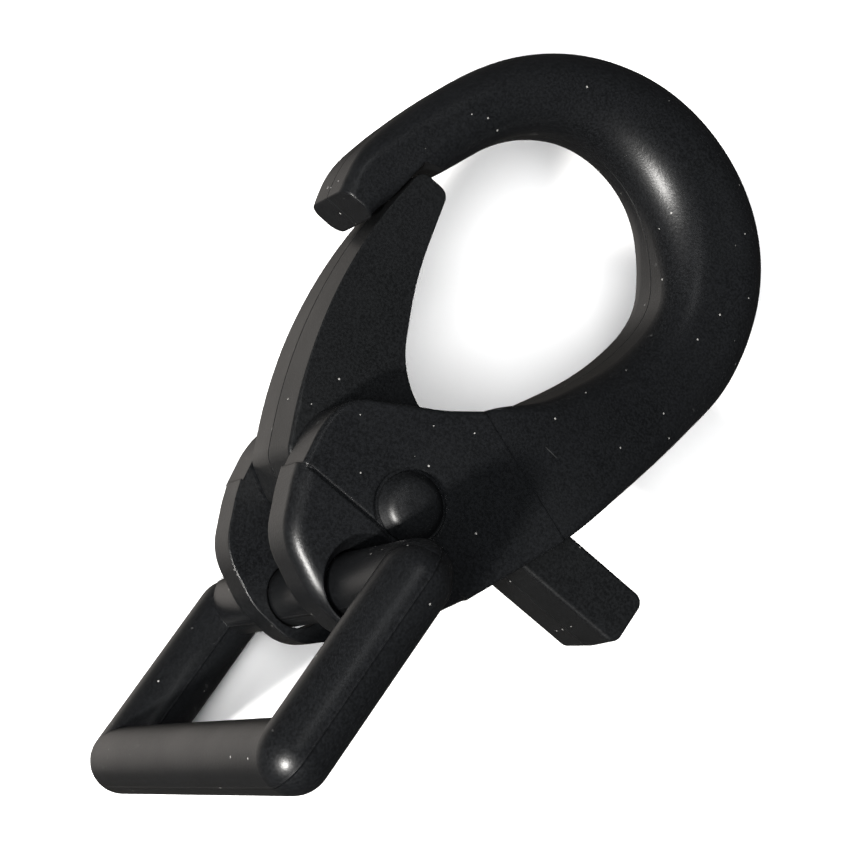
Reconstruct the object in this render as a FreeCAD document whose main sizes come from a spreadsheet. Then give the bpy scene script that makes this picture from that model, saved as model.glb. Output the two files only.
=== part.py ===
import FreeCAD, Part
import math
import os
import Sketcher
from FreeCAD import Placement, Rotation, Vector

# Strap snap hook, lying on its side, millimetres.
# Origin: centre of the strap loop's lower bar.  +Y: along the hook, loop to bow.
# +Z: along the gate's pivot, out of the domed head's face.  +X: side of the thumb tail.

DIMENSIONS = [
    # strap loop: a closed ring of round bar, a little thinner where it turns in the fork
    ("bar_dia", 4.4), ("journal_dia", 4.0), ("loop_span", 30.6), ("journal_span", 30.2),
    ("loop_rise", 12.9), ("loop_shoulder", 12.3),
    # fork: two cheeks that carry the pivot and the eye
    ("fork_deep", 14.0), ("slot_deep", 7.0), ("slot_roof", 25.75), ("spring_step", 0.7), ("spring_wall", 2.05),
    ("eye_half_round", 1.1), ("shank_half_round", 0.35),
    ("eye_dia", 4.3), ("eye_flare_dia", 6.0), ("eye_flare_deep", 2.2),
    ("eye_flare_aside", 0.35), ("eye_flare_rise", 0.25), ("eye_flare_inset", 0.5),
    ("seam_y", 16.35), ("seam_start", -6.9), ("seam_wide", 0.2), ("seam_deep", 0.22),
    ("head_seat_dia", 4.8), ("head_seat_deep", 0.15),
    # pivot
    ("pivot_x", -0.3), ("pivot_y", 18.5), ("pin_dia", 3.0), ("pin_gap", 0.05),
    ("dome_dia", 4.3), ("dome_rise", 1.25), ("dome_rim", 0.25), ("heel_dia", 4.3), ("heel_rise", 0.7),
    # bow: its stations turn about this centre
    ("bow_x", 0.0), ("bow_y", 41.3),
    # gate lever
    ("gate_deep", 6.6), ("gate_tip_deep", 4.8), ("gate_round", 0.25), ("gate_draft", 2.5),
    ("taper_foot", 20.5), ("taper_tip", 39.0), ("taper_start", 2.2), ("taper_wide", 20.0), ("coil_slot_deep", 3.3),
    ("tail_low", 21.5), ("tail_high", 25.5), ("tail_end", 17.4), ("tail_round", 0.9),
    # torsion spring on the pin
    ("wire_dia", 0.5), ("coil_dia", 3.9), ("coil_pitch", 0.62), ("coil_turns", 3.5),
    ("push_leg", 5.0), ("seat_leg", 7.6),
]

# Shank stations: name, mid x, mid y, lean of the section in degrees, width, depth, corner radius
SHANK = [
    ("shank_root", 4.08, 23.18, -21.0, 9.10, 13.8, 0.6),
    ("shank_a", 4.65, 24.885, -18.45, 9.60, 13.9, 0.45),
    ("shank_b", 6.72, 28.70, -10.4, 8.15, 13.3, 0.9),
    ("shank_c", 8.65, 33.10, 1.6, 7.45, 11.4, 1.5),
    ("shank_d", 10.10, 37.05, 2.7, 6.85, 9.5, 1.9),
]

# Bow stations: name, angle about the bow centre, inner radius, outer radius, depth, corner radius
BOW = [
    ("bow_a", 0, 7.45, 14.20, 8.1, 2.1),
    ("bow_b", 30, 6.95, 14.40, 7.5, 2.5),
    ("bow_c", 60, 6.75, 14.45, 7.1, 3.0),
    ("bow_d", 90, 7.00, 14.00, 6.9, 3.1),
    ("bow_e", 120, 7.56, 13.30, 6.6, 2.6),
    ("bow_f", 150, 8.05, 13.05, 6.4, 2.2),
    ("bow_g", 180, 9.00, 13.97, 6.3, 1.9),
]

# Nose stations, as the shank's: the bow runs straight down to the flat end of the nose
NOSE = [
    ("nose_a", -12.75, 37.4, 180.0, 4.30, 6.2, 1.3),
    ("nose_b", -13.22, 33.2, 180.0, 2.65, 6.0, 1.0),
]


def make_sheet(doc):
    sheet = doc.addObject("Spreadsheet::Sheet", "Sizes")
    rows = list(DIMENSIONS)
    for name, mid_x, mid_y, lean, wide, deep, corner in SHANK + NOSE:
        rows += [(name + "_x", mid_x), (name + "_y", mid_y), (name + "_lean", lean)]
        rows += [(name + "_wide", wide), (name + "_deep", deep), (name + "_corner", corner)]
    for name, angle, inner, outer, deep, corner in BOW:
        rows += [(name + "_lean", angle), (name + "_inner", inner), (name + "_outer", outer)]
        rows += [(name + "_deep", deep), (name + "_corner", corner)]
    for row, (alias, value) in enumerate(rows, start=1):
        sheet.set("A%d" % row, alias)
        sheet.set("B%d" % row, str(value))
        sheet.setAlias("B%d" % row, alias)
    doc.recompute()
    return sheet


def origin_plane(body, role):
    return [item for item in body.Origin.OriginFeatures if item.Role == role][0]


def new_sketch(body, name, role="XY_Plane"):
    sketch = body.newObject("Sketcher::SketchObject", name)
    sketch.AttachmentSupport = (origin_plane(body, role), [""])
    sketch.MapMode = "FlatFace"
    return sketch


def bind(obj, prop, expression):
    obj.setExpression(prop, expression)


def dimension(sketch, kind, elements, name, expression, value):
    index = sketch.addConstraint(Sketcher.Constraint(kind, *elements, value))
    sketch.renameConstraint(index, name)
    bind(sketch, "Constraints." + name, expression)


def section_sketch(body, name, place, lean_deg, wide_expr, sizes):
    """A rounded rectangle that stands across the shank: its own x along the width, y along +Z."""
    sketch = new_sketch(body, name)
    lean = math.radians(lean_deg)
    across = Vector(math.cos(lean), math.sin(lean), 0)
    normal = across.cross(Vector(0, 0, 1))
    sketch.AttachmentOffset = Placement(Vector(0, 0, 0), Rotation(across, Vector(0, 0, 1), normal, "XYZ"))
    bind(sketch, "AttachmentOffset.Base.x", place[0])
    bind(sketch, "AttachmentOffset.Base.y", place[1])
    wide, deep, corner = sizes
    x, y = wide / 2 - corner, deep / 2 - corner
    ends = [((-x, -y - corner), (x, -y - corner)), ((x + corner, -y), (x + corner, y))]
    ends += [((x, y + corner), (-x, y + corner)), ((-x - corner, y), (-x - corner, -y))]
    for start, end in ends:
        sketch.addGeometry(Part.LineSegment(Vector(*start, 0), Vector(*end, 0)))
    for quarter, centre in enumerate([(x, -y), (x, y), (-x, y), (-x, -y)]):
        circle = Part.Circle(Vector(*centre, 0), Vector(0, 0, 1), corner)
        start = math.radians(90 * (quarter - 1))
        sketch.addGeometry(Part.ArcOfCircle(circle, start, start + math.pi / 2))
    for line in range(4):
        sketch.addConstraint(Sketcher.Constraint("Tangent", line, 2, 4 + line, 1))
        sketch.addConstraint(Sketcher.Constraint("Tangent", 4 + line, 2, (line + 1) % 4, 1))
    for arc in (5, 6, 7):
        sketch.addConstraint(Sketcher.Constraint("Equal", 4, arc))
    sketch.addConstraint(Sketcher.Constraint("Horizontal", 0))
    sketch.addConstraint(Sketcher.Constraint("Vertical", 1))
    sketch.addConstraint(Sketcher.Constraint("Symmetric", 4, 3, 6, 3, -1, 1))
    corners = " - 2 * Sizes.%s_corner" % name
    dimension(sketch, "DistanceX", (6, 3, 4, 3), "wide", wide_expr + corners, 2 * x)
    dimension(sketch, "DistanceY", (4, 3, 5, 3), "deep", "Sizes.%s_deep" % name + corners, 2 * y)
    dimension(sketch, "Radius", (4,), "corner", "Sizes.%s_corner" % name, corner)
    return sketch


def shank_sections(body, stations):
    made = []
    for name, mid_x, mid_y, lean, wide, deep, corner in stations:
        place = ("Sizes.%s_x" % name, "Sizes.%s_y" % name)
        made.append(section_sketch(body, name, place, lean, "Sizes.%s_wide" % name, (wide, deep, corner)))
    return made


def bow_sections(body):
    made = []
    for name, angle, inner, outer, deep, corner in BOW:
        middle = "(Sizes.%s_inner + Sizes.%s_outer) / 2" % (name, name)
        x_expr = "Sizes.bow_x + %s * cos(Sizes.%s_lean * 1 deg)" % (middle, name)
        y_expr = "Sizes.bow_y + %s * sin(Sizes.%s_lean * 1 deg)" % (middle, name)
        wide = "(Sizes.%s_outer - Sizes.%s_inner)" % (name, name)
        made.append(section_sketch(body, name, (x_expr, y_expr), angle, wide, (outer - inner, deep, corner)))
    return made


def rounded_outline(sketch, corners):
    """A closed outline from its corner points (x, y, radius): straight sides, with a tangent arc at each."""
    starts, ends = [], []
    count = len(corners)
    for index, (x, y, radius) in enumerate(corners):
        point = Vector(x, y, 0)
        back = (Vector(*corners[index - 1][:2], 0) - point).normalize()
        ahead = (Vector(*corners[(index + 1) % count][:2], 0) - point).normalize()
        half = back.getAngle(ahead) / 2
        reach = radius / math.tan(half)
        starts.append(point + back * reach)
        ends.append(point + ahead * reach)
        if radius:
            middle = (back + ahead).normalize() * (radius / math.sin(half) - radius)
            sketch.addGeometry(Part.Arc(starts[-1], point + middle, ends[-1]))
    for index in range(count):
        sketch.addGeometry(Part.LineSegment(ends[index], starts[(index + 1) % count]))


def pad(body, name, sketch, expression):
    feature = body.newObject("PartDesign::Pad", name)
    feature.Profile = sketch
    feature.SideType = "Symmetric"
    bind(feature, "Length", expression)
    return feature


def pocket(body, name, sketch, expression):
    feature = body.newObject("PartDesign::Pocket", name)
    feature.Profile = sketch
    feature.SideType = "Symmetric"
    bind(feature, "Length", expression)


def circle_sketch(body, name, x_expr, y_expr, radius_expr, radius):
    sketch = new_sketch(body, name)
    sketch.addGeometry(Part.Circle(Vector(1, 1, 0), Vector(0, 0, 1), radius))
    dimension(sketch, "DistanceX", (-1, 1, 0, 3), "centre_x", x_expr, 1)
    dimension(sketch, "DistanceY", (-1, 1, 0, 3), "centre_y", y_expr, 1)
    dimension(sketch, "Radius", (0,), "ring", radius_expr, radius)
    return sketch


def face_edges(feature, height, skip=None):
    """Names of the edges that lie on the planes z = +height and z = -height."""
    names = []
    for index, edge in enumerate(feature.Shape.Edges, start=1):
        box = edge.BoundBox
        flat = box.ZLength < 1e-6 and abs(abs(box.ZMax) - height) < 1e-6
        if flat and not (skip and skip(edge)):
            names.append("Edge%d" % index)
    return names


def fillet(body, name, base, edges, expression):
    feature = body.newObject("PartDesign::Fillet", name)
    feature.Base = (base, edges)
    bind(feature, "Radius", expression)
    return feature


def place_tool(body, tool, corner):
    """Sets a cutting primitive on the body's XY plane, moved by three expressions."""
    tool.AttachmentSupport = (origin_plane(body, "XY_Plane"), [""])
    tool.MapMode = "FlatFace"
    for axis, expression in zip("xyz", corner):
        bind(tool, "AttachmentOffset.Base." + axis, expression)


def fork_halves(doc, body, sheet):
    """The fork in side view, split at the mould seam: the eye's half is rounder than the shank's half."""
    seam, face = float(sheet.seam_y), float(sheet.fork_deep) / 2
    lower = new_sketch(body, "eye_half_outline")
    rounded_outline(lower, [
        (6.11, seam, 0), (3.60, 11.85, 6), (1.60, 10.12, 3.2), (-2.00, 10.40, 5),
        (-5.60, 12.10, 4), (-7.05, 15.20, 6), (-7.45, seam, 0),
    ])
    eye_half = pad(body, "eye_half", lower, "Sizes.fork_deep")
    doc.recompute()

    def on_seam(edge):
        return abs(edge.CenterOfMass.y - seam) < 0.01

    fillet(body, "eye_half_edges", eye_half, face_edges(eye_half, face, on_seam), "Sizes.eye_half_round")
    upper = new_sketch(body, "shank_half_outline")
    rounded_outline(upper, [
        (0.05, 26.42, 0), (9.25, 23.35, 0), (6.11, seam, 0), (-7.30, seam, 0),
        (-7.68, 18.60, 4), (-7.68, 21.30, 3.3), (-1.90, 24.83, 10),
    ])
    shank_half = pad(body, "shank_half", upper, "Sizes.fork_deep")
    doc.recompute()
    joint = Vector(4.65, 24.885, 0)

    def not_rim(edge):
        centre = edge.CenterOfMass
        on_joint = math.hypot(centre.x - joint.x, centre.y - joint.y) < 0.2
        return centre.y < seam + 0.01 or on_joint

    fillet(body, "shank_half_edges", shank_half, face_edges(shank_half, face, not_rim), "Sizes.shank_half_round")


def cut_eye(body):
    """The round eye for the strap loop, flared on the outside of each cheek, wider towards the shank."""
    eye = circle_sketch(body, "eye_outline", "0", "Sizes.loop_rise", "Sizes.eye_dia / 2", 2.15)
    pocket(body, "eye", eye, "Sizes.fork_deep + 2")
    for name, side, flip in (("eye_flare_front", 1, 0), ("eye_flare_back", -1, 180)):
        flare = body.newObject("PartDesign::SubtractiveCone", name)
        flare.AttachmentSupport = (origin_plane(body, "XY_Plane"), [""])
        flare.MapMode = "FlatFace"
        flare.AttachmentOffset = Placement(Vector(0, 0, 0), Rotation(Vector(1, 0, 0), flip))
        bind(flare, "AttachmentOffset.Base.x", "Sizes.eye_flare_aside")
        bind(flare, "AttachmentOffset.Base.y", "Sizes.loop_rise + Sizes.eye_flare_rise")
        bind(flare, "AttachmentOffset.Base.z", "%d * (Sizes.fork_deep / 2 - Sizes.eye_flare_deep)" % side)
        bind(flare, "Radius1", "Sizes.eye_dia / 2 - Sizes.eye_flare_inset")
        bind(flare, "Radius2", "Sizes.eye_flare_dia / 2")
        bind(flare, "Height", "Sizes.eye_flare_deep")


def cut_seams(body):
    """The mould's witness line on each cheek, from the gate's side to under the rivet's head."""
    front, back = "Sizes.fork_deep / 2 - Sizes.seam_deep", "-Sizes.fork_deep / 2 - 1"
    for name, level in (("seam_front", front), ("seam_back", back)):
        seam = body.newObject("PartDesign::SubtractiveBox", name)
        place_tool(body, seam, ("Sizes.seam_start", "Sizes.seam_y - Sizes.seam_wide / 2", level))
        bind(seam, "Length", "Sizes.pivot_x - Sizes.seam_start")
        bind(seam, "Width", "Sizes.seam_wide")
        bind(seam, "Height", "Sizes.seam_deep + 1")


def make_hook_body(doc, sheet):
    body = doc.addObject("PartDesign::Body", "hook_body")
    fork_halves(doc, body, sheet)
    sections = shank_sections(body, SHANK) + bow_sections(body) + shank_sections(body, NOSE)
    bow = body.newObject("PartDesign::AdditiveLoft", "bow")
    bow.Profile = sections[0]
    bow.Sections = sections[1:]
    doc.recompute()

    roof, wall = float(sheet.slot_roof), float(sheet.spring_wall)
    spring_roof = roof + float(sheet.spring_step)
    slot = new_sketch(body, "slot_outline")
    rounded_outline(slot, [
        (-12, 5, 0), (14, 5, 0), (14, roof, 0), (wall, roof, 0), (wall, spring_roof, 0), (-12, spring_roof, 0),
    ])
    pocket(body, "slot", slot, "Sizes.slot_deep")
    pin_hole = circle_sketch(body, "pin_hole_outline", "Sizes.pivot_x", "Sizes.pivot_y", "Sizes.pin_dia / 2", 1.5)
    pocket(body, "pin_hole", pin_hole, "Sizes.fork_deep + 2")
    cut_eye(body)
    cut_seams(body)
    seat = body.newObject("PartDesign::SubtractiveCylinder", "head_seat")
    place_tool(body, seat, ("Sizes.pivot_x", "Sizes.pivot_y", "Sizes.fork_deep / 2 - Sizes.head_seat_deep"))
    bind(seat, "Radius", "Sizes.head_seat_dia / 2")
    bind(seat, "Height", "Sizes.head_seat_deep + 1")
    # seat for the gate's tip, cut into the inner side of the nose
    notch = new_sketch(body, "nose_notch_outline")
    rounded_outline(notch, [
        (-11.95, 32.0, 0), (-11.42, 38.30, 0.3), (-9.20, 39.52, 0), (-7.0, 40.30, 0), (-7.0, 32.0, 0),
    ])
    pocket(body, "nose_notch", notch, "Sizes.fork_deep + 2")
    doc.recompute()
    return body


def make_gate_lever(doc, sheet):
    body = doc.addObject("PartDesign::Body", "gate_lever")
    side = new_sketch(body, "lever_outline")
    low, high, end = float(sheet.tail_low), float(sheet.tail_high), float(sheet.tail_end)
    turn = float(sheet.tail_round)
    rounded_outline(side, [
        # thumb tail
        (end, low, turn), (end, high, turn), (-2.50, high, 1.0),
        # up the inner side of the horn to its rounded tip
        (-4.60, 26.55, 6), (-7.28, 32.00, 22), (-8.80, 38.10, 0.9), (-11.25, 38.10, 0.9),
        # one long curve down the outer side to the foot
        (-12.25, 26.97, 32), (-7.75, 17.40, 1.5), (-5.20, 16.00, 1.5),
        # hub, clear of the strap loop's bar
        (-2.90, 16.60, 0.8), (-0.30, 15.50, 1.8), (2.90, 17.60, 1.5), (2.90, low, 0.8),
    ])
    lever = pad(body, "lever", side, "Sizes.gate_deep")
    bind(lever, "TaperAngle", "-Sizes.gate_draft * 1 deg")
    doc.recompute()
    half, tip_half = float(sheet.gate_deep) / 2, float(sheet.gate_tip_deep) / 2
    fillet(body, "lever_edges", lever, face_edges(lever, half), "Sizes.gate_round")
    taper = new_sketch(body, "tip_taper_outline", "YZ_Plane")
    foot, tip, clear = float(sheet.taper_foot), float(sheet.taper_tip), half + 1
    for side in (1, -1):
        rounded_outline(taper, [
            (foot, side * half, 0), (tip, side * tip_half, 0), (tip, side * clear, 0), (foot, side * clear, 0),
        ])
    bind(taper, "AttachmentOffset.Base.z", "-Sizes.taper_start - Sizes.taper_wide / 2")
    pocket(body, "tip_taper", taper, "Sizes.taper_wide")
    coil_room = new_sketch(body, "coil_room_outline")
    rounded_outline(coil_room, [(-2.6, 14.0, 0), (3.6, 14.0, 0), (3.6, 26.0, 0), (-2.6, 26.0, 0)])
    pocket(body, "coil_room", coil_room, "Sizes.coil_slot_deep")
    radius = "Sizes.pin_dia / 2 + Sizes.pin_gap"
    bore = circle_sketch(body, "bore_outline", "Sizes.pivot_x", "Sizes.pivot_y", radius, 1.55)
    pocket(body, "bore", bore, "Sizes.gate_deep + 2")
    doc.recompute()
    return body


def make_pivot_rivet(doc, sheet):
    body = doc.addObject("PartDesign::Body", "pivot_rivet")
    half = new_sketch(body, "rivet_outline", "XZ_Plane")
    pin = float(sheet.pin_dia) / 2
    face = float(sheet.fork_deep) / 2
    dome, rise, rim = float(sheet.dome_dia) / 2, float(sheet.dome_rise), float(sheet.dome_rim)
    heel, heel_rise = float(sheet.heel_dia) / 2, float(sheet.heel_rise)
    front = face - float(sheet.head_seat_deep)
    foot, top = -face - heel_rise, front + rise
    rounded_outline(half, [
        # flat heel, then the pin
        (0, foot, 0), (heel, foot, 0.3), (heel, -face, 0), (pin, -face, 0), (pin, front, 0),
        # domed head
        (dome, front, 0), (dome, front + rim, 0), (0.75 * dome, front + 0.80 * rise, 1.0),
        (0.35 * dome, top, 2.0), (0, top, 0),
    ])
    turned = body.newObject("PartDesign::Revolution", "rivet")
    turned.Profile = half
    turned.ReferenceAxis = (half, ["V_Axis"])
    turned.Angle = 360
    bind(body, "Placement.Base.x", "Sizes.pivot_x")
    bind(body, "Placement.Base.y", "Sizes.pivot_y")
    doc.recompute()
    return body


def make_gate_spring(doc, sheet):
    coil_r = float(sheet.coil_dia) / 2
    height = float(sheet.coil_turns) * float(sheet.coil_pitch)
    helix = doc.addObject("Part::Helix", "coil_path")
    bind(helix, "Radius", "Sizes.coil_dia / 2")
    bind(helix, "Pitch", "Sizes.coil_pitch")
    bind(helix, "Height", "Sizes.coil_turns * Sizes.coil_pitch")
    wire = doc.addObject("Part::Circle", "wire_section")
    bind(wire, "Radius", "Sizes.wire_dia / 2")
    wire.Placement = Placement(Vector(coil_r, 0, 0), Rotation(Vector(1, 0, 0), 90))
    coil = doc.addObject("Part::Sweep", "coil")
    coil.Sections = [wire]
    coil.Spine = (helix, [])
    coil.Solid = True
    coil.Frenet = True
    # the coil starts on the horn's side and ends half a turn on, and both ends run up into the fork
    legs = []
    for name, x, level in (("push_leg", coil_r, 0.0), ("seat_leg", -coil_r, height)):
        leg = doc.addObject("Part::Cylinder", name)
        bind(leg, "Radius", "Sizes.wire_dia / 2")
        bind(leg, "Height", "Sizes.%s" % name)
        leg.Placement = Placement(Vector(x, 0, level), Rotation(Vector(1, 0, 0), 90))
        legs.append(leg)
    spring = doc.addObject("Part::MultiFuse", "gate_spring")
    spring.Shapes = [coil] + legs
    turned = Rotation(Vector(0, 0, 1), 180)
    spring.Placement = Placement(Vector(float(sheet.pivot_x), float(sheet.pivot_y), -height / 2), turned)
    doc.recompute()
    return spring


def round_bar(body, name, dia, ends):
    """A round bar between two points (y, z) that differ in one of them, with a ball at each end."""
    (y, z), (far_y, far_z) = ends
    bar = body.newObject("PartDesign::AdditiveCylinder", name)
    bar.AttachmentSupport = (origin_plane(body, "XY_Plane"), [""])
    bar.MapMode = "FlatFace"
    lie_down = 0 if y == far_y else -90
    bar.AttachmentOffset = Placement(Vector(0, 0, 0), Rotation(Vector(1, 0, 0), lie_down))
    bind(bar, "AttachmentOffset.Base.y", y)
    bind(bar, "AttachmentOffset.Base.z", z)
    bind(bar, "Radius", dia + " / 2")
    length = "(%s) - (%s)" % ((far_z, z) if y == far_y else (far_y, y))
    bind(bar, "Height", length)
    for side, (ball_y, ball_z) in zip(("near", "far"), ends):
        ball = body.newObject("PartDesign::AdditiveSphere", "%s_%s_ball" % (name, side))
        place_tool(body, ball, ("0", ball_y, ball_z))
        bind(ball, "Radius", dia + " / 2")


def make_strap_loop(doc, sheet):
    body = doc.addObject("PartDesign::Body", "strap_loop")
    half, shoulder, journal = "Sizes.loop_span / 2", "Sizes.loop_shoulder", "Sizes.journal_span / 2"
    round_bar(body, "lower_bar", "Sizes.bar_dia", (("0", "-" + half), ("0", half)))
    for name, level in (("front_bar", half), ("back_bar", "-" + half)):
        round_bar(body, name, "Sizes.bar_dia", (("0", level), (shoulder, level)))
    rise = "Sizes.loop_rise"
    round_bar(body, "journal_bar", "Sizes.journal_dia", ((rise, "-" + journal), (rise, journal)))
    doc.recompute()
    return body


def check(doc):
    for obj in doc.Objects:
        if "Invalid" in obj.State or "Error" in obj.State:
            raise RuntimeError("%s: %s" % (obj.Name, obj.State))


def main():
    doc = FreeCAD.newDocument("snap_hook")
    sheet = make_sheet(doc)
    makers = [make_hook_body, make_gate_lever, make_pivot_rivet, make_gate_spring, make_strap_loop]
    os.makedirs("parts", exist_ok=True)
    for maker in makers:
        part = maker(doc, sheet)
        doc.recompute()
        check(doc)
        shape = part.Shape
        if shape.isNull() or not shape.isValid() or len(shape.Solids) != 1:
            raise RuntimeError("%s is not one valid solid (%d)" % (part.Label, len(shape.Solids)))
        shape.exportStep("parts/%s.step" % part.Label)
        print(part.Label, round(shape.Volume, 2), shape.BoundBox)


main()
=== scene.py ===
import bpy
from mathutils import Matrix, Vector


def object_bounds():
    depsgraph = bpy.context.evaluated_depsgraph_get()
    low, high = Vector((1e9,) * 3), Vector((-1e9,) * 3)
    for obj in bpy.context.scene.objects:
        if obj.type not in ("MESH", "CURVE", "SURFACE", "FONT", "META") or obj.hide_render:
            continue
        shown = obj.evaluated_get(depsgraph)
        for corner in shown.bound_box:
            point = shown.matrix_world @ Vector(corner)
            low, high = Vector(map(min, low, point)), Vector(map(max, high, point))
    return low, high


MM = 0.001

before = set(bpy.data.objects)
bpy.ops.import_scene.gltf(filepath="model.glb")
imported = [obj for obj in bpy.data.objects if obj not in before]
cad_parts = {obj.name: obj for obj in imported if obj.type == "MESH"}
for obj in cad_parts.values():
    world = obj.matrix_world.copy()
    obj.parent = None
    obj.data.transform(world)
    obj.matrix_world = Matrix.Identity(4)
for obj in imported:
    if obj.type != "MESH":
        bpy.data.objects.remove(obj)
cad_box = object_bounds()


# node helpers -----------------------------------------------------------------------------------
def wire(tree, value, socket):
    """Sets a socket: a (node, output name) pair makes a link, anything else is its value."""
    if isinstance(value, tuple) and hasattr(value[0], "outputs"):
        tree.links.new(value[0].outputs[value[1]], socket)
    else:
        socket.default_value = value


def node(tree, kind, **inputs):
    made = tree.nodes.new(kind)
    for name, value in inputs.items():
        wire(tree, value, made.inputs[name.replace("_", " ")])
    return made


def math_node(tree, operation, *values):
    made = tree.nodes.new("ShaderNodeMath")
    made.operation = operation
    for socket, value in zip(made.inputs, values):
        wire(tree, value, socket)
    return made, "Value"


def noise(tree, place, scale, detail):
    """Cloudy noise; scale counts its cells along a metre."""
    return node(tree, "ShaderNodeTexNoise", Vector=place, Scale=scale, Detail=detail, Roughness=0.6), "Fac"


def ramp(tree, source, stops):
    made = node(tree, "ShaderNodeValToRGB", Fac=source)
    points = made.color_ramp.elements
    points[0].position, points[0].color = stops[0]
    points[1].position, points[1].color = stops[-1]
    for place, colour in stops[1:-1]:
        points.new(place).color = colour
    return made, "Color"


def blend(tree, amount, low, high):
    made = tree.nodes.new("ShaderNodeMix")
    made.data_type = "RGBA"
    wire(tree, amount, made.inputs["Factor"])
    wire(tree, low, made.inputs["A"])
    wire(tree, high, made.inputs["B"])
    return made, "Result"


def rgb(red, green, blue, gain=1.0):
    return (gain * red, gain * green, gain * blue, 1.0)


DUST_CELLS, DUST_SIZE, DUST_THRESHOLD = 950.0, 0.065, 0.52
HAIR_TURN, HAIR_STRETCH, HAIR_CELLS, HAIR_THRESHOLD = (0.3, 0.2, 0.6), (0.8, 9.0, 9.0), 100.0, 0.735


def dust(tree, place):
    """Sparse small dots: 1 inside a dot, 0 elsewhere.  A wider noise picks the cells that get one."""
    cells = node(tree, "ShaderNodeTexVoronoi", Vector=place, Scale=DUST_CELLS, Randomness=1.0)
    dot = math_node(tree, "LESS_THAN", (cells, "Distance"), DUST_SIZE)
    where = math_node(tree, "GREATER_THAN", noise(tree, place, 0.45 * DUST_CELLS, 1.0), DUST_THRESHOLD)
    return math_node(tree, "MULTIPLY", dot, where)


def hairlines(tree, place):
    """Short fine scratches along one direction: 1 on a scratch, 0 elsewhere."""
    turned = node(tree, "ShaderNodeMapping", Vector=place, Rotation=HAIR_TURN, Scale=HAIR_STRETCH)
    lines = noise(tree, (turned, "Vector"), HAIR_CELLS, 2.0)
    return math_node(tree, "GREATER_THAN", lines, HAIR_THRESHOLD)


def ridge(tree, place, axis, half_width):
    """1 on the plane where the mould halves meet, falling to 0 at half_width on each side."""
    split = node(tree, "ShaderNodeSeparateXYZ", Vector=place)
    away = math_node(tree, "ABSOLUTE", (split, axis))
    rise = math_node(tree, "SUBTRACT", 1.0, math_node(tree, "DIVIDE", away, half_width))
    return math_node(tree, "MAXIMUM", rise, 0.0)


def bump(tree, height, strength, depth, **under):
    made = node(tree, "ShaderNodeBump", Strength=strength, Distance=depth, Height=height, **under)
    return made, "Normal"


def blank_material(name):
    made = bpy.data.materials.new(name)
    made.use_nodes = True
    return made, made.node_tree, made.node_tree.nodes["Principled BSDF"]


# plastic and steel ------------------------------------------------------------------------------
GRAIN_CELLS, GRAIN_DEPTH, GRAIN_GLOSS = 6200.0, 0.02 * MM, 0.10
CLOUD_CELLS, CLOUD_GLOSS = 170.0, 0.18
DUST_GREY, DUST_COVER = rgb(0.26, 0.255, 0.245), 0.8
HAIR_GREY, HAIR_COVER = rgb(0.20, 0.20, 0.195), 0.10
PARTING_STRENGTH, PARTING_DEPTH = 0.9, 0.07 * MM
PLASTIC_IOR = 1.47
RIM_SAMPLES = 6


def moulded_colour(tree, place, colour, fine, cloud):
    """The plastic's black, paler in its pores and clouds, with dust and hairlines on it."""
    tint = ramp(tree, cloud, [(0.30, rgb(*colour, 0.80)), (0.72, rgb(*colour, 1.25))])
    pores = ramp(tree, fine, [(0.38, rgb(0.0, 0.0, 0.0)), (0.62, rgb(1.0, 1.0, 1.0))])
    mottle = blend(tree, pores, tint, rgb(*colour, 2.2))
    dusty = blend(tree, math_node(tree, "MULTIPLY", dust(tree, place), DUST_COVER), mottle, DUST_GREY)
    return blend(tree, math_node(tree, "MULTIPLY", hairlines(tree, place), HAIR_COVER), dusty, HAIR_GREY)


def moulded(name, colour, roughness, grain, soften, parting=None):
    """Black moulded plastic: fine grain, cloudy gloss, dust, hairlines, softened rims and a parting line.

    roughness is the middle of the cloudy gloss and grain the strength of the fine bump.
    soften is the rims' radius in mm; parting is an axis and the line's half width in mm.
    """
    made, tree, shader = blank_material(name)
    place = (node(tree, "ShaderNodeTexCoord"), "Object")
    fine, cloud = noise(tree, place, GRAIN_CELLS, 3.0), noise(tree, place, CLOUD_CELLS, 4.0)
    wire(tree, moulded_colour(tree, place, colour, fine, cloud), shader.inputs["Base Color"])
    gloss = math_node(tree, "MULTIPLY_ADD", cloud, CLOUD_GLOSS, roughness - 0.5 * CLOUD_GLOSS)
    wire(tree, math_node(tree, "MULTIPLY_ADD", fine, GRAIN_GLOSS, gloss), shader.inputs["Roughness"])
    shader.inputs["IOR"].default_value = PLASTIC_IOR
    soft = node(tree, "ShaderNodeBevel", Radius=soften * MM)
    soft.samples = RIM_SAMPLES
    normal = bump(tree, fine, grain, GRAIN_DEPTH, Normal=(soft, "Normal"))
    if parting is not None:
        axis, half_width = parting
        line = ridge(tree, place, axis, half_width * MM)
        normal = bump(tree, line, PARTING_STRENGTH, PARTING_DEPTH, Normal=normal)
    wire(tree, normal, shader.inputs["Normal"])
    return made


def steel(name):
    """Bright drawn spring wire."""
    made, tree, shader = blank_material(name)
    place = (node(tree, "ShaderNodeTexCoord"), "Object")
    drawn = noise(tree, place, 2500.0, 3.0)
    tone = ramp(tree, drawn, [(0.3, rgb(0.42, 0.42, 0.43)), (0.7, rgb(0.60, 0.60, 0.60))])
    wire(tree, tone, shader.inputs["Base Color"])
    wire(tree, math_node(tree, "MULTIPLY_ADD", drawn, 0.2, 0.22), shader.inputs["Roughness"])
    shader.inputs["Metallic"].default_value = 1.0
    wire(tree, bump(tree, drawn, 0.3, 0.01 * MM), shader.inputs["Normal"])
    return made


def dress(name, material):
    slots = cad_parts[name].data.materials
    slots.clear()
    slots.append(material)


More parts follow.
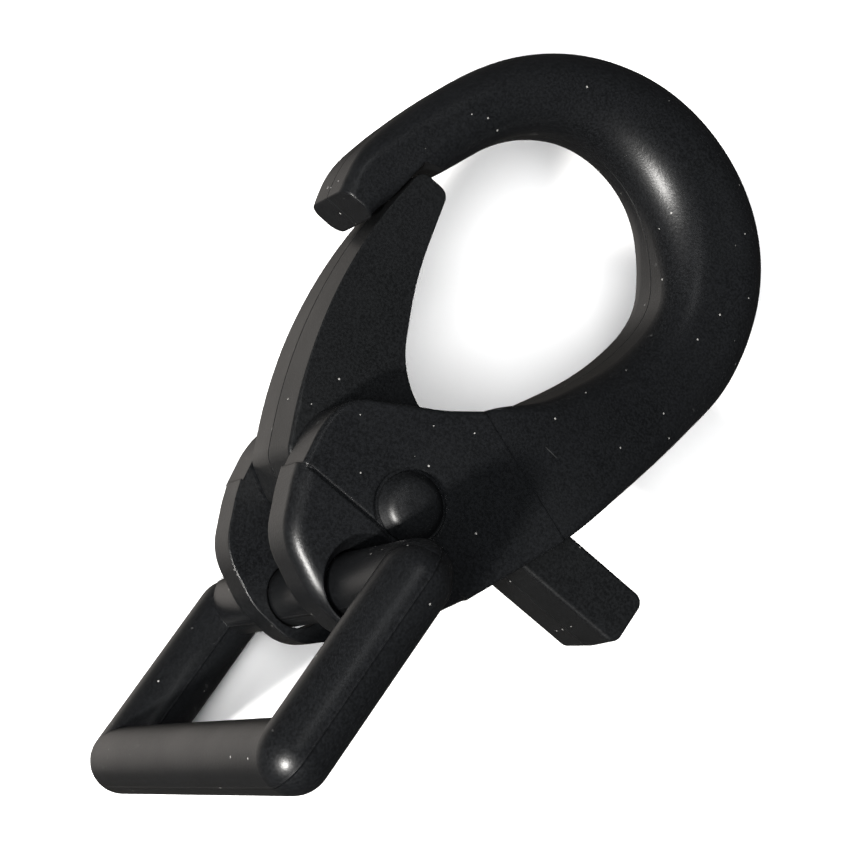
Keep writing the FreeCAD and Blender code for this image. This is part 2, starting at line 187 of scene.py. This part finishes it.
BLACK = (0.0024, 0.0026, 0.0029)
GATE_BLACK = (0.0024, 0.0026, 0.0028)
dress("hook_body", moulded("body_plastic", BLACK, 0.31, 0.60, 0.22, ("Z", 0.10)))
dress("gate_lever", moulded("gate_plastic", GATE_BLACK, 0.33, 0.60, 0.15, ("Z", 0.12)))
dress("pivot_rivet", moulded("rivet_plastic", BLACK, 0.36, 0.40, 0.06))
dress("strap_loop", moulded("loop_plastic", BLACK, 0.29, 0.40, 0.05, ("X", 0.11)))
dress("gate_spring", steel("spring_steel"))


# floor ------------------------------------------------------------------------------------------
FLOOR_HALF, FLOOR_GAP = 1.5, 0.2 * MM


def lay_floor(half, height):
    mesh = bpy.data.meshes.new("floor")
    corners = [(-half, -half, height), (half, -half, height), (half, half, height), (-half, half, height)]
    mesh.from_pydata(corners, [], [(0, 1, 2, 3)])
    made = bpy.data.objects.new("floor", mesh)
    bpy.context.scene.collection.objects.link(made)
    paper, _, shader = blank_material("floor_paper")
    shader.inputs["Base Color"].default_value = rgb(0.92, 0.92, 0.92)
    shader.inputs["Roughness"].default_value = 0.9
    shader.inputs["Specular IOR Level"].default_value = 0.0
    mesh.materials.append(paper)
    # the plastic mirrors the room's darker walls, not the white paper
    made.visible_glossy = False


lay_floor(FLOOR_HALF, cad_box[0].z - FLOOR_GAP)

# room: what the plastic mirrors, bright and warm low down on the gate's side, dark elsewhere ----
BRIGHT_SIDE = (-0.40, 0.0, -0.916)
world = bpy.data.worlds.new("room")
bpy.context.scene.world = world
world.use_nodes = True
room = world.node_tree
aim = room.nodes.new("ShaderNodeVectorMath")
aim.operation = "DOT_PRODUCT"
wire(room, (node(room, "ShaderNodeTexCoord"), "Generated"), aim.inputs[0])
aim.inputs[1].default_value = BRIGHT_SIDE
walls = ramp(room, math_node(room, "MULTIPLY_ADD", (aim, "Value"), 0.5, 0.5), [
    (0.0, rgb(0.038, 0.040, 0.043)), (0.70, rgb(0.035, 0.034, 0.034)),
    (0.84, rgb(0.055, 0.052, 0.049)), (0.94, rgb(0.100, 0.094, 0.088)), (1.0, rgb(0.82, 0.77, 0.72)),
])
wire(room, walls, room.nodes["Background"].inputs["Color"])


def lamp(name, place, target, size, watts, colour=(1.0, 1.0, 1.0), mirrored=True):
    data = bpy.data.lights.new(name, "AREA")
    data.shape = "RECTANGLE"
    data.size, data.size_y = size
    data.energy = watts
    data.color = colour
    made = bpy.data.objects.new(name, data)
    made.location = place
    made.rotation_euler = (Vector(target) - Vector(place)).to_track_quat("-Z", "Y").to_euler()
    made.visible_glossy = mirrored
    bpy.context.scene.collection.objects.link(made)


# lamps: name, place, what it looks at, size, watts, colour; the plastic doesn't mirror the two wide ones
MIDDLE = (0.0, 0.03, 0.0)
lamp("main_light", (-0.25, -0.32, 0.82), MIDDLE, (0.40, 0.40), 13.0, mirrored=False)
lamp("side_light", (-0.66, 0.02, 0.50), MIDDLE, (0.30, 0.30), 2.4, mirrored=False)
lamp("soft_key", (-0.16, -0.41, 0.36), MIDDLE, (0.045, 0.045), 7.0, (1.0, 0.98, 0.95))
lamp("sheen_light", (-0.20, 0.22, 0.52), MIDDLE, (0.08, 0.14), 0.12)

# camera: its place, and the directions to its right and up --------------------------------------
CAMERA_PLACE = (-0.041635, -0.032382, 0.150075)
RIGHT, UP = Vector((0.73410, 0.54084, 0.41060)), Vector((-0.63254, 0.76457, 0.12381))
LENS_MM, SENSOR_MM = 110.12, 36.0
camera = bpy.data.objects.new("camera", bpy.data.cameras.new("camera"))
bpy.context.scene.collection.objects.link(camera)
turn = Matrix((RIGHT, UP, RIGHT.cross(UP))).transposed().to_4x4()
camera.matrix_world = Matrix.Translation(CAMERA_PLACE) @ turn
camera.data.lens = LENS_MM
camera.data.sensor_width = SENSOR_MM
camera.data.clip_start = 0.005
bpy.context.scene.camera = camera
bpy.context.scene.view_settings.view_transform = "Standard"
